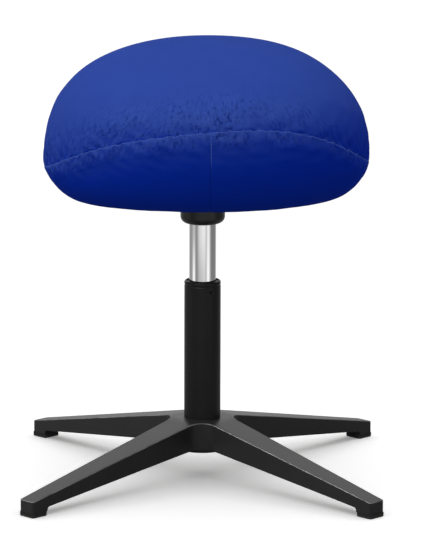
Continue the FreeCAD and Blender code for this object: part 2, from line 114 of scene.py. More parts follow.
def finish(name, **sockets):
    material = bpy.data.materials.new(name)
    material.use_nodes = True
    shader = material.node_tree.nodes["Principled BSDF"]
    for words, value in sockets.items():
        shader.inputs[words.replace("_", " ")].default_value = value
    return material, Wire(material.node_tree), shader


def feed(shader, **links):
    for words, value in links.items():
        value.tree.links.new(value.socket, shader.inputs[words.replace("_", " ")])


def own_place(wire):
    return wire.node("TexCoord", out="Object")


def stretched(at, scale):
    return at.node("Mapping", {}, {"Vector": at, "Scale": scale})


def specks(wire, scale, detail=2.0, rough=0.5, at=None):
    values = {"Vector": at or own_place(wire), "Scale": scale, "Detail": detail, "Roughness": rough}
    return wire.node("TexNoise", {}, values)


def blend(factor, low, high):
    ends = [end if isinstance(end, Wire) else (*end, 1) for end in (low, high)]
    values = {"Factor_Float": factor, "A_Color": ends[0], "B_Color": ends[1]}
    return factor.node("Mix", {"data_type": "RGBA"}, values, "Result_Color")


def relief(height, strength, distance):
    return height.node("Bump", {}, {"Height": height, "Strength": strength, "Distance": distance})


def wear(node, material):
    nodes[node].data.materials.clear()
    nodes[node].data.materials.append(material)


coat_dark = (0.0068, 0.0068, 0.0069)
coat_rubbed_highlight = (0.150, 0.150, 0.148)
cast_black, wire, shader = finish("cast_black", IOR=1.5, Specular_IOR_Level=0.265)
peel = specks(wire, 700, 3, 0.6)
cloud = specks(wire, 22, 4)
slope = wire.node("NewGeometry", out="Normal").part("Z")
# rubbed wear and painted highlight: the upper edges are mixed towards a pale grey in patches
upper_edge = slope.spread(0.25, 0.5) * slope.spread(0.93, 0.80)
rubbed_and_highlight = upper_edge * specks(wire, 60, 3).spread(0.35, 0.65, 0.3)
coat_tone = 0.6 * cloud + 0.4 * peel
feed(shader, Base_Color=blend(0.06 * coat_tone + 0.94 * rubbed_and_highlight, coat_dark, coat_rubbed_highlight))
feed(shader, Roughness=0.26 + 0.10 * cloud + 0.05 * peel - 0.06 * rubbed_and_highlight)
feed(shader, Normal=relief(peel, 0.30, 0.0004))
wear("star_base", cast_black)

# Glides. Injection-moulded nylon pads with a stem, pushed into a hole in each foot block.
# They are duller than the coat above them and scuffed where they meet the floor.
scuff_high = 0.003846
glide_nylon, wire, shader = finish("glide_nylon", IOR=1.5, Specular_IOR_Level=0.3)
grain = specks(wire, 1600, 2)
scuff = own_place(wire).part("Z").spread(scuff_high, 0) * specks(wire, 240, 4)
feed(shader, Base_Color=blend(scuff, (0.007, 0.007, 0.007), (0.05, 0.05, 0.048)))
feed(shader, Roughness=0.55 + 0.2 * grain, Normal=relief(grain, 0.25, 0.0002))
for corner in ("front_left", "front_right", "back_left", "back_right"):
    wear("glide_" + corner, glide_nylon)

# Stand tube. Drawn steel with a tapered foot, a rolled rim and three punched dimples that lock in the bush.
# It has a smooth semi-gloss black coat, with the faint upright streaks of a drawn tube.
# The dimples are painted near black, a painted shade in the recesses, and are rougher.
dimple_ring = 0.0186
dimple_high = 0.1984
dimple_turns = (-62.2, 57.8, 177.8)
dimple_shade = (0.0004, 0.0004, 0.0004)
tube_black, wire, shader = finish("tube_black", IOR=1.5, Specular_IOR_Level=0.15)
at = own_place(wire)
streak = specks(wire, 900, 2, 0.5, stretched(at, (1, 1, 0.03)))
dimples = []
for degrees in dimple_turns:
    angle = math.radians(degrees)
    middle = (dimple_ring * math.cos(angle), dimple_ring * math.sin(angle), dimple_high)
    off = wire.node("VectorMath", {"operation": "DISTANCE"}, {"Vector": at, "Vector_001": middle}, "Value")
    dimples.append(off.spread(0.0017, 0.0010))
dimpled = dimples[0] + dimples[1] + dimples[2]
coat = blend(specks(wire, 30, 3), (0.0068, 0.0068, 0.0070), (0.0105, 0.0105, 0.0108))
# painted shade: the coat goes to near black inside the dimples
feed(shader, Base_Color=blend(dimpled, coat, dimple_shade))
feed(shader, Roughness=0.27 + 0.10 * streak + 0.5 * dimpled, Normal=relief(streak, 0.05, 0.0002))
wear("stand_tube", tube_black)

# Guide bush. A turned acetal sleeve pressed into the stand tube, on which the bright tube slides.
# Only its top ring shows, a dull black line round the chrome.
acetal, wire, shader = finish("acetal", IOR=1.48)
groove = (own_place(wire).part("Z") * 9000).sine()
feed(shader, Base_Color=blend(specks(wire, 400), (0.010, 0.010, 0.010), (0.016, 0.016, 0.016)))
feed(shader, Roughness=0.45 + 0.08 * groove)
wear("guide_bush", acetal)

# Thrust bearing. Two hardened washers, a moulded cage and ten steel balls, on the stand tube's floor.
# It is packed in grease, carries the seat's weight and lets it turn.
bearing_steel, wire, shader = finish("bearing_steel", Metallic=1.0)
film = specks(wire, 160, 3)
feed(shader, Base_Color=blend(film, (0.42, 0.42, 0.43), (0.60, 0.60, 0.61)))
feed(shader, Roughness=0.16 + 0.18 * film)
for node in ("lower_race", "upper_race", "bearing_balls"):
    wear(node, bearing_steel)
wear("ball_cage", acetal)

# Piston rod with its piston, nut and seals. The rod is ground and hard chromed, and the piston is turned from
# aluminium. The rubber bump stop sits on the rod's shoulder, and a zinc-plated washer and clip hold its foot
# under the hub.
ground_steel, wire, shader = finish("ground_steel", Metallic=1.0)
lay = specks(wire, 2600, 1, 0.5, wire.node("CombineXYZ", {}, {"Z": own_place(wire).part("Z")}))
feed(shader, Base_Color=blend(lay, (0.50, 0.50, 0.51), (0.66, 0.66, 0.67)))
feed(shader, Roughness=0.18 + 0.14 * lay)
zinc, wire, shader = finish("zinc", Metallic=1.0)
spangle = specks(wire, 350, 4)
feed(shader, Base_Color=blend(spangle, (0.46, 0.46, 0.47), (0.62, 0.63, 0.66)))
feed(shader, Roughness=0.30 + 0.20 * spangle, Normal=relief(spangle, 0.08, 0.0002))
turned_alloy, wire, shader = finish("turned_alloy", Metallic=1.0)
groove = (own_place(wire).part("Z") * 12000).sine()
feed(shader, Base_Color=blend(specks(wire, 90), (0.58, 0.58, 0.60), (0.68, 0.68, 0.70)))
feed(shader, Roughness=0.32 + 0.08 * groove, Normal=relief(groove, 0.05, 0.0001))
rubber, wire, shader = finish("rubber", Specular_IOR_Level=0.3)
bloom = specks(wire, 500, 3)
feed(shader, Base_Color=blend(bloom, (0.008, 0.008, 0.008), (0.018, 0.018, 0.017)))
feed(shader, Roughness=0.70 + 0.2 * bloom, Normal=relief(bloom, 0.2, 0.0002))
wear("piston_rod", ground_steel)
wear("piston", turned_alloy)
for node in ("piston_nut", "clip_washer", "rod_clip"):
    wear(node, zinc)
for node in ("piston_seal", "rod_seal", "bump_stop"):
    wear(node, rubber)

# Pressure tube. The gas spring's outer tube, 28 mm, polished and bright chromed where it shows.
# Its top is ground to the standard taper, and the rod guide and valve housing close its ends.
chrome, wire, shader = finish("chrome", Metallic=1.0)
smear = specks(wire, 60, 4, 0.6, stretched(own_place(wire), (1, 1, 0.25)))
feed(shader, Base_Color=blend(smear, (0.74, 0.74, 0.75), (0.80, 0.80, 0.81)))
feed(shader, Roughness=0.035 + 0.05 * smear)
wear("pressure_tube", chrome)
wear("rod_guide", acetal)
wear("valve_housing", turned_alloy)
wear("release_pin", ground_steel)

# Mounting plate, taper socket and lever bracket. Pressed and turned steel, welded together and painted matt
# black. Four socket-head bolts and washers clamp the plate, the cloth and the board to T-nuts.
plate_black, wire, shader = finish("plate_black", Specular_IOR_Level=0.35)
cloud = specks(wire, 180, 4)
feed(shader, Base_Color=blend(cloud, (0.006, 0.006, 0.006), (0.012, 0.012, 0.012)))
feed(shader, Roughness=0.48 + 0.15 * cloud, Normal=relief(specks(wire, 1200), 0.1, 0.0002))
for node in ("taper_socket", "mounting_plate", "lever_bracket"):
    wear(node, plate_black)
for node in ("plate_bolts", "plate_washers", "t_nuts", "lever_pin"):
    wear(node, zinc)

# Collar. A black moulded cup that snaps over the taper socket and hides it, rounded underneath.
# Its skin has the fine spark grain of a moulding tool.
collar_plastic, wire, shader = finish("collar_plastic", IOR=1.5, Specular_IOR_Level=0.35)
grain = specks(wire, 2200, 2)
feed(shader, Base_Color=blend(specks(wire, 70, 3), (0.005, 0.005, 0.005), (0.009, 0.009, 0.009)))
feed(shader, Roughness=0.26 + 0.10 * grain, Normal=relief(grain, 0.14, 0.0002))
wear("collar", collar_plastic)

# Release lever. A cranked steel flat, painted black, that presses the valve's pin when its end is lifted.
# A moulded grip is pushed over the end, at the back under the seat.
lever_black, wire, shader = finish("lever_black", Specular_IOR_Level=0.4)
cloud = specks(wire, 140, 3)
feed(shader, Base_Color=blend(cloud, (0.006, 0.006, 0.006), (0.010, 0.010, 0.010)))
feed(shader, Roughness=0.38 + 0.12 * cloud)
wear("release_lever", lever_black)
wear("lever_grip", collar_plastic)

# Seat board and foam. An oval of birch plywood, with the foam moulded round it as one block.
# Both are closed in by the cloth, and only show in a cut.
plywood, wire, shader = finish("plywood")
at = own_place(wire)
ply = 0.5 + 0.5 * (at.part("Z") * 4200).sine()
fibre = specks(wire, 60, 5, 0.6, stretched(at, (0.15, 2, 1)))
feed(shader, Base_Color=blend(0.4 * ply + 0.6 * fibre, (0.52, 0.37, 0.21), (0.72, 0.56, 0.36)))
feed(shader, Roughness=0.60 + 0.15 * fibre)
wear("seat_board", plywood)
foam, wire, shader = finish("foam", Specular_IOR_Level=0.2)
cell = wire.node("TexVoronoi", {}, {"Vector": own_place(wire), "Scale": 900.0}, "Distance")
feed(shader, Base_Color=blend(cell, (0.60, 0.55, 0.42), (0.76, 0.72, 0.60)))
feed(shader, Roughness=0.85 + 0.1 * cell, Normal=relief(cell, 0.4, 0.0004))
wear("foam_core", foam)

# Cover. Felted wool cloth sewn from a crown panel and two lower panels, pulled over the foam and stapled
# under the board. The long seam climbs from the sides to the front, and a short one parts the lower panels.
# Each side is given by its widest height, its reach there and underneath, and its fullness above and below.
seat_low = 0.2969
seat_high = 0.4617
left = (0.3346, 0.1649, 0.1310, 2.42, 1.49)
right = (0.3384, 0.1725, 0.1358, 2.37, 1.65)
front = (0.3881, 0.1600, 0.0850, 2.09, 1.89)
back = front
seam_x = (-0.165, -0.120, -0.080, -0.040, 0.0, 0.040, 0.080, 0.120, 0.172)
seam_z = (0.3289, 0.3607, 0.3761, 0.3849, 0.3901, 0.3921, 0.3891, 0.3770, 0.3367)
seam_curve = np.polyfit(seam_x, seam_z, 4)
centre_turn = math.radians(2.9)
centre_spread = 0.5
crown_lean = 0.0055
lean_from = 0.42
lean_over = 0.035
under_tilt = 0.0011
tilt_from = 0.05
tilt_over = 0.07
tilt_top = 0.345
tilt_deep = 0.035
socket_hole = 0.021
lever_slot = 0.048
slot_turn = math.radians(18)
grid = 92
wall_rows = 36
under_rows = 8
wall_steps = 500
under_steps = 60


def side_reach(z, side):
    widest, reach, flat, full_top, full_low = side
    rise = np.clip((z - widest) / (seat_high - widest), 0, 1)
    fall = np.clip((widest - z) / (widest - seat_low), 0, 1)
    top = reach * (1 - rise ** full_top) ** (1 / full_top)
    low = flat + (reach - flat) * (1 - fall ** full_low) ** (1 / full_low)
    return np.where(z >= widest, top, low)


def meridians(turn):
    sweep = np.linspace(0, np.pi, wall_steps)
    z = seat_low + (seat_high - seat_low) * (1 + np.cos(sweep)) / 2
    c = np.cos(turn)[:, None]
    s = np.sin(turn)[:, None]
    x = np.where(c > 0, side_reach(z, right), side_reach(z, left)) * c
    y = np.where(s > 0, side_reach(z, back), side_reach(z, front)) * s
    x = x + crown_lean * np.clip((z - lean_from) / lean_over, 0, 1) ** 2
    outer = np.sign(x) * np.clip((np.abs(x) - tilt_from) / tilt_over, 0, 1)
    sag = outer * np.clip((tilt_top - z) / tilt_deep, 0, 1)
    wall = np.stack([x, y, z + under_tilt * sag], 2)
    behind = np.exp(-((np.angle(np.exp(1j * (turn - np.pi / 2))) / slot_turn) ** 4))
    hole = socket_hole + (lever_slot - socket_hole) * behind
    inner = np.stack([hole * c[:, 0], hole * s[:, 0], np.full(len(turn), seat_low)], 1)
    share = np.linspace(0, 1, under_steps)[None, 1:, None]
    under = wall[:, -1:] * (1 - share) + inner[:, None] * share
    path = np.concatenate([wall, under], 1)
    steps = np.linalg.norm(np.diff(path, axis=1), axis=2)
    length = np.concatenate([np.zeros((len(turn), 1)), np.cumsum(steps, 1)], 1)
    over = path[:, :, 2] - np.polyval(seam_curve, path[:, :, 0])
    below = np.argmax(over < 0, 1)
    row = np.arange(len(turn))
    share = over[row, below - 1] / (over[row, below - 1] - over[row, below])
    seam_at = length[row, below - 1] + share * (length[row, below] - length[row, below - 1])
    return path, length, seam_at, length[:, len(z) - 1]


def walk(path, length, far):
    return np.array([[np.interp(f, l, p[:, k]) for k in range(3)] for p, l, f in zip(path, length, far)])


# the crown is a square grid drawn out to a disc, so that it has no pole, and laid from the top to the seam
axis = np.linspace(-1, 1, grid + 1)
square_x, square_y = np.meshgrid(axis, axis)
disc_x = (square_x * np.sqrt(1 - square_y ** 2 / 2)).ravel()
disc_y = (square_y * np.sqrt(1 - square_x ** 2 / 2)).ravel()
out = np.hypot(disc_x, disc_y)
turn = np.arctan2(disc_y, disc_x)
turn = turn - centre_turn * np.exp(-((np.cos(turn) / centre_spread) ** 2)) * np.sign(np.sin(turn))
path, length, seam_at, edge_at = meridians(turn)
crown = walk(path, length, out * seam_at)
crown_uv = np.stack([np.cos(turn), np.sin(turn)], 1) * (out * seam_at)[:, None]
crown_far = (1 - out) * seam_at
number = np.arange(len(crown)).reshape(grid + 1, grid + 1)
half = grid // 2
seam_ring = np.concatenate([number[0, half:grid], number[:grid, grid], number[grid, grid:0:-1],
                            number[grid:0:-1, 0], number[0, :half]])
ring = len(seam_ring)
path, length, seam_at, edge_at = path[seam_ring], length[seam_ring], seam_at[seam_ring], edge_at[seam_ring]
# below the seam the cloth goes down in rows, and then in under the board
drop = [np.zeros(ring)]
for r in range(1, wall_rows + under_rows + 1):
    on_wall = (edge_at - seam_at) * min(r / wall_rows, 1)
    drop.append(on_wall + (length[:, -1] - edge_at) * max(0, r - wall_rows) / under_rows)
walls = [walk(path, length, seam_at + d) for d in drop[1:]]
places = np.concatenate([crown] + walls)
from_seam = np.concatenate([crown_far] + [-d for d in drop[1:]])
lap = np.concatenate([turn] + [turn[seam_ring]] * len(walls))
gaps = np.linalg.norm(np.roll(crown[seam_ring], -1, 0) - crown[seam_ring], axis=1)
run = np.concatenate([[0], np.cumsum(gaps)])


def wall_number(r, c):
    return int(seam_ring[c % ring] if r == 0 else len(crown) + (r - 1) * ring + c % ring)


quads = []
quad_uv = []
panel = []
for i in range(grid):
    for j in range(grid):
        corners = (number[i, j], number[i, j + 1], number[i + 1, j + 1], number[i + 1, j])
        quads.append([int(n) for n in corners])
        quad_uv.append(crown_uv[quads[-1]])
        panel.append(0)
for r in range(len(walls)):
    for c in range(ring):
        d = (c + 1) % ring
        quads.append([wall_number(r, c), wall_number(r + 1, c), wall_number(r + 1, d), wall_number(r, d)])
        start = 0 if c < ring // 2 else run[-1]
        near = run[c] - start
        far = run[c + 1] - start
        upper = (-drop[r][c], -drop[r][d])
        lower = (-drop[r + 1][c], -drop[r + 1][d])
        quad_uv.append([(near, upper[0]), (near, lower[0]), (far, lower[1]), (far, upper[1])])
        panel.append(1 if c >= ring // 2 else 2)

cover = bpy.data.objects.new("cover", bpy.data.meshes.new("cover"))
scene.collection.objects.link(cover)
cover.data.from_pydata(places.tolist(), [], quads)
cover.data.uv_layers.new(name="cloth").data.foreach_set("uv", np.array(quad_uv, np.float32).ravel())
for word, values in (("from_seam", from_seam), ("lap_x", np.cos(lap)), ("lap_y", np.sin(lap))):
    kept = cover.data.attributes.new(word, "FLOAT", "POINT")
    kept.data.foreach_set("value", values.astype(np.float32))
for k in range(3):
    cover.data.materials.append(None)
cover.data.polygons.foreach_set("material_index", panel)
cover.data.polygons.foreach_set("use_smooth", [True] * len(quads))


def read(items, word, width=3):
    values = np.zeros(len(items) * width, np.float32)
    items.foreach_get(word, values)
    return values.reshape(-1, width).astype(float) if width > 1 else values.astype(float)


def put(mesh, spots):
    mesh.vertices.foreach_set("co", spots.astype(np.float32).ravel())
    mesh.update()


# The foam's push. The sewn cover starts a little small and is blown up from inside, as the foam fills it,
# while the seams and the stapled underside hold it. What it gains is evened out and kept small, because the
# cloth lies close on moulded foam.
held = np.zeros(len(places), bool)
held[seam_ring] = True
for r in range(1, len(walls) + 1):
    held[[wall_number(r, 0), wall_number(r, ring // 2)]] = True
    if r >= wall_rows - 1:
        held[wall_number(r, 0):wall_number(r, 0) + ring] = True


def off_centre(spots, lap):
    seam_lap = np.where(lap > 0, np.pi / 2 - centre_turn, centre_turn - np.pi / 2)
    return np.abs(lap - seam_lap) * np.hypot(spots[:, 0], spots[:, 1])


from_held = np.minimum(np.abs(from_seam), np.where(from_seam < 0, off_centre(places, lap), 1))
start_small = 0.0024
small_from = 0.018
swell = start_small * (1 - np.exp(-((from_held / small_from) ** 2))) * ~held
free_from = 0.030
most = 0.006
give = 0.45
pressed_in = 0.0006
pushed_out = 0.0006
ticks = 20
outward = read(cover.data.vertex_normals, "vector")
start = places - outward * swell[:, None]
put(cover.data, start)
cover.vertex_groups.new(name="held").add([int(n) for n in np.where(held)[0]], 1.0, "REPLACE")
blow = cover.modifiers.new("blow", "CLOTH")
blow.settings.quality = 6
blow.settings.mass = 0.3
blow.settings.tension_stiffness = 40
blow.settings.compression_stiffness = 20
blow.settings.shear_stiffness = 15
blow.settings.bending_stiffness = 1.5
blow.settings.use_pressure = True
blow.settings.uniform_pressure_force = 4.0
blow.settings.shrink_min = -0.008
blow.settings.vertex_group_mass = "held"
blow.settings.effector_weights.gravity = 0
blow.collision_settings.use_collision = False
blow.point_cache.frame_start = 1
blow.point_cache.frame_end = ticks
for tick in range(1, ticks + 1):
    scene.frame_set(tick)
blown = cover.evaluated_get(bpy.context.evaluated_depsgraph_get())
shift = read(blown.data.vertices, "co") - start
far = np.linalg.norm(shift, axis=1)
shift *= np.minimum(1, most / np.maximum(far, 1e-9))[:, None]
cover.modifiers.remove(blow)
settled = start + shift
proud = ((settled - places) * outward).sum(1)
across = settled - places - outward * proud[:, None]
for free in (~held & (from_seam > 0), ~held & (from_seam < 0)):
    proud[free] -= np.median(proud[free])
free_play = 1 - np.exp(-((from_held / free_from) ** 2))
proud = free_play * np.clip(give * proud, -pressed_in, pushed_out)
put(cover.data, places + across + outward * proud[:, None])
scene.frame_set(1)

soften = cover.modifiers.new("soften", "SUBSURF")
soften.levels = soften.render_levels = 1
fine = bpy.data.meshes.new_from_object(cover.evaluated_get(bpy.context.evaluated_depsgraph_get()))
bpy.data.objects.remove(cover)

# Seams. The allowance is turned inside, so each seam lies in a narrow groove and the cloth gathers in small
# puckers along it. The allowance shows as a low step below the long seam, and the foam's upper edge as a soft
# crest above it.
groove_w = 0.0013
long_groove_d = 0.00035
centre_groove_d = 0.0005
pucker_pitch = (0.006, 0.014)
pucker_reach = (0.006, 0.020)
pucker_w = (0.0020, 0.0042)
pucker_lean = 0.35
pucker_d = (-0.0015, 0.0008)
lower_share = 0.7
pucker_off = 0.0020
pucker_side = 0.012
pucker_end = 0.04
crest_up = 0.062
crest_right = 0.012
crest_back = 0.006
crest_h = 0.0005
crest_w = 0.010
allowance = 0.017
step_in = 0.002
step_out = 0.004
step_h = 0.00030
step_edge_w = 0.0016
step_edge_h = 0.00022
ruffle_h = 0.00012
ruffle_reach = 0.05
wander_h = 0.00035
wander_reach = 0.007
spots = read(fine.vertices, "co")
outward = read(fine.vertex_normals, "vector")
from_seam = read(fine.attributes["from_seam"].data, "value", 1)
lap_x = read(fine.attributes["lap_x"].data, "value", 1)
lap_y = read(fine.attributes["lap_y"].data, "value", 1)
lap = np.arctan2(lap_y, lap_x)
ring_lap = np.unwrap(turn[seam_ring])
full_lap = np.append(ring_lap, ring_lap[0] + 2 * np.pi)
along = np.interp((lap - ring_lap[0]) % (2 * np.pi) + ring_lap[0], full_lap, run)
chance = np.random.default_rng(7)


def bump(distance, width):
    return np.exp(-((distance / width) ** 2))


lift = -long_groove_d * bump(from_seam, groove_w)
centre_far = np.where(from_seam < 0, off_centre(spots, lap), 1)
lift += -centre_groove_d * bump(centre_far, groove_w)
for side in (1, -1):
    at = 0.0
    while at < run[-1]:
        at += chance.uniform(*pucker_pitch)
        reach = chance.uniform(*pucker_reach) * (1.0 if side > 0 else lower_share)
        width = chance.uniform(*pucker_w)
        lean = chance.uniform(-pucker_lean, pucker_lean)
        deep = chance.uniform(*pucker_d)
        off = (along - at - lean * np.abs(from_seam) + run[-1] / 2) % run[-1] - run[-1] / 2
        near = (from_seam * side > 0) & (np.abs(off) < pucker_side) & (np.abs(from_seam) < pucker_end)
        far = np.abs(from_seam[near])
        lift[near] += deep * bump(off[near], width) * bump(far, reach) * (1 - bump(far, pucker_off))
crest_at = crest_up - crest_right * np.cos(lap) - crest_back * np.sin(lap)
lift += crest_h * bump(from_seam - crest_at, crest_w)
lap_share = 2 * np.pi * along / run[-1]
uneven = np.sin(41 * lap_share + 1) * np.sin(27 * lap_share + 2)
inside = np.clip(-from_seam / step_in, 0, 1) * np.clip((allowance + from_seam) / step_out, 0, 1)
lift += step_h * inside * (1 + 0.5 * uneven)
lift += step_edge_h * bump(from_seam + allowance, step_edge_w) * (1 + 0.6 * uneven)
wobble = np.sin(67 * lap_share) + 0.8 * np.sin(103 * lap_share + 2) + 0.6 * np.sin(149 * lap_share + 4)
waves = (70, 95, 120, 150, 180, 210)
slow = sum(np.sin(spots @ chance.normal(0, 1, 3) * wave + chance.uniform(0, 6)) for wave in waves)
lift += ruffle_h * slow * bump(from_seam, ruffle_reach)
upward = np.cross(outward, np.stack([-np.sin(lap), np.cos(lap), np.zeros(len(lap))], 1))
slide = wander_h * wobble * bump(from_seam, wander_reach)
put(fine, spots + outward * lift[:, None] + upward * slide[:, None])

# Panels. The three cuts of cloth, each its own piece of the sewn cover, with the hem turned in at its seams.
# The cloth is felted wool in one deep blue, its nap brushed up in patches along the long seam and laid smooth
# elsewhere. Its colour holds painted light and shade: paler where it faces up, darker where it faces down and
# towards the right side, with a painted highlight in patches just below the long seam.
seam_turn_in = 0.0028
seat_radius = 0.165
loops = read(fine.loops, "vertex_index", 1).astype(int).reshape(-1, 4)
faces_uv = read(fine.uv_layers["cloth"].data, "uv", 2).reshape(-1, 4, 2)
which = read(fine.polygons, "material_index", 1).astype(int)
spots = read(fine.vertices, "co")
outward = read(fine.vertex_normals, "vector")
panels = {}
for k, name in enumerate(("crown_panel", "lower_panel_left", "lower_panel_right")):
    used, again = np.unique(loops[which == k], return_inverse=True)
    again = again.reshape(-1, 4)
    sides = [(a, b) for face in again.tolist() for a, b in zip(face, face[1:] + face[:1])]
    closed = set(sides)
    open_sides = [(a, b) for a, b in sides if (b, a) not in closed]
    hem = sorted({n for side in open_sides for n in side})
    inner = {n: len(used) + place for place, n in enumerate(hem)}
    lips = [(b, a, inner[a], inner[b]) for a, b in open_sides]
    source = np.concatenate([used, used[hem]])
    depth = np.concatenate([np.zeros(len(used)), np.full(len(hem), seam_turn_in)])
    mesh = bpy.data.meshes.new(name)
    mesh.from_pydata((spots[source] - outward[source] * depth[:, None]).tolist(), [], again.tolist() + lips)
    flat = faces_uv[which == k]
    flat_at = dict(zip(again.ravel().tolist(), flat.reshape(-1, 2)))
    lips_uv = np.array([[flat_at[n] for n in (b, a, a, b)] for a, b in open_sides])
    flat = np.concatenate([flat, lips_uv]).astype(np.float32)
    mesh.uv_layers.new(name="cloth").data.foreach_set("uv", flat.ravel())
    ring_x = seat_radius * np.cos(lap[source])
    ring_y = seat_radius * np.sin(lap[source])
    sewn_place = np.stack([ring_x, ring_y, from_seam[source]], 1)
    kept = mesh.attributes.new("sewn", "FLOAT_VECTOR", "POINT")
    kept.data.foreach_set("vector", sewn_place.astype(np.float32).ravel())
    mesh.polygons.foreach_set("use_smooth", [True] * len(mesh.polygons))
    if name == "crown_panel":
        for edge in mesh.edges:
            a, b = edge.vertices
            edge.use_edge_sharp = ((a, b) in closed) != ((b, a) in closed)
    panels[name] = bpy.data.objects.new(name, mesh)
    scene.collection.objects.link(panels[name])

cloth, wire, shader = finish("cloth", Specular_IOR_Level=0.01, Sheen_Weight=0.06, Sheen_Roughness=0.4)
shader.inputs["Sheen Tint"].default_value = (0.05, 0.17, 0.9, 1)
chart = wire.node("UVMap", {"uv_map": "cloth"})
wander = 5 * (specks(wire, 380, 3, 0.6, chart) - 0.5)
weave = (chart.part("X") * 5200 + wander).sine() * (chart.part("Y") * 5200 + wander).sine()
fibre = specks(wire, 900, 5, 0.7, chart)
cloud = specks(wire, 28, 3, 0.5, chart)
sewn_at = wire.node("Attribute", {"attribute_name": "sewn"}, {}, "Vector")
to_right = sewn_at.part("X")
up_from = sewn_at.part("Z")
brushed = stretched(sewn_at, (1, 1, 0.6))
nap = 0.55 * specks(wire, 330, 3, 0.7, brushed) + 0.45 * specks(wire, 130, 3, 0.6, brushed)
tufts = specks(wire, 300, 2, 0.6, wire.node("Mapping", {}, {"Vector": brushed, "Location": (3, 5, 7)}))
pits = tufts.spread(0.44, 0.36)
grains = tufts.spread(0.58, 0.68)
near_above = up_from.spread(0.060, 0.012, smooth=True)
near_below = up_from.spread(-0.030, -0.004, smooth=True)
patches = specks(wire, 24, 2, 0.5, sewn_at).spread(0.35, 0.60, 0.35)
calmer = to_right.spread(0.02, 0.15, 1.0, 0.5)
ruffled = near_above * near_below * patches * calmer
even_tone = 0.5 + 0.3 * (cloud - 0.5) + 0.08 * (fibre - 0.5)
tone = even_tone + ruffled * (0.25 + 2.0 * (nap - 0.5) + 0.5 * grains - 0.6 * pits)
# painted light and shade: the blue is mixed from a shaded to a lit copy by how far the cloth faces up, less
# towards the right
facing = wire.node("NewGeometry", out="Normal").part("Z")
right_shade = to_right.spread(0.03, 0.165, 0.0, 0.40)
lit_share = (facing - right_shade).spread(-0.50, 0.45, smooth=True)
# painted highlight: the fold just below the long seam is lit in patches
fold_highlight = up_from.spread(-0.018, -0.002, smooth=True) * up_from.spread(0.001, -0.001)
highlight_blobs = specks(wire, 110, 2, 0.6, sewn_at).spread(0.40, 0.62)
lit_share = lit_share + fold_highlight * (0.06 + 0.30 * highlight_blobs)
lit_blue = blend(tone, (0.0190, 0.047, 0.284), (0.039, 0.082, 0.384))
shaded_blue = blend(tone, (0.0004, 0.0165, 0.280), (0.0016, 0.0255, 0.350))
pit_blue = (0.004, 0.020, 0.20)
blue = blend(lit_share, shaded_blue, lit_blue)
feed(shader, Base_Color=blend(0.40 * ruffled * pits, blue, pit_blue), Roughness=0.80 + 0.15 * fibre)
pile = 0.12 * weave + 0.35 * fibre + ruffled * (3.5 * nap - 0.5 * pits)
feed(shader, Normal=relief(pile, 0.9, 0.0022))
replaced = {"crown_panel": "top_cover", "lower_panel_left": "lower_cover_left",
            "lower_panel_right": "lower_cover_right"}
for name, piece in panels.items():
    piece.data.materials.append(cloth)
    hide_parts(replaced[name])
    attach(piece, "seat")

# Stitches. Twisted polyester thread, a shade paler than the cloth, laid in short stitches along the long seam
# and the two centre seams. It sinks into the groove towards the foot of the centre seams.
stitch_pitch = 0.0034
stitch_long = 0.0032
stitch_thick = 0.0008
thread_proud = 0.0001
thread_sunk = 0.0007
sunk_from = 0.372
sunk_over = 0.030
centre_foot = 0.012
in_left = set(loops[which == 1].ravel())
in_right = set(loops[which == 2].ravel())
on_seam = np.where(np.abs(from_seam) < 1e-6)[0]
shared = [n for n in in_left & in_right if from_seam[n] < 0 and spots[n, 2] > seat_low + centre_foot]
on_centre = np.array(shared)
lines = [on_seam[np.argsort(lap[on_seam])]]
for at_back in (False, True):
    mine = on_centre[(spots[on_centre, 1] > 0) == at_back]
    lines.append(mine[np.argsort(from_seam[mine])])
thread_points = []
thread_edges = []
for k, line in enumerate(lines):
    first = len(thread_points)
    sunk = np.zeros(len(line)) if k == 0 else np.clip((sunk_from - spots[line, 2]) / sunk_over, 0, 1)
    thread_points += (spots[line] + outward[line] * (thread_proud - thread_sunk * sunk[:, None])).tolist()
    thread_edges += [(first + n, first + n + 1) for n in range(len(line) - 1)]
    if k == 0:
        thread_edges.append((first + len(line) - 1, first))
stitches = bpy.data.objects.new("seam_stitches", bpy.data.meshes.new("seam_stitches"))
stitches.data.from_pydata(thread_points, thread_edges, [])
scene.collection.objects.link(stitches)

thread, wire, shader = finish("thread", Specular_IOR_Level=0.05)
twist = specks(wire, 1500, 3)
feed(shader, Base_Color=blend(twist, (0.048, 0.105, 0.47), (0.085, 0.16, 0.60)))
feed(shader, Roughness=0.6 + 0.2 * twist)


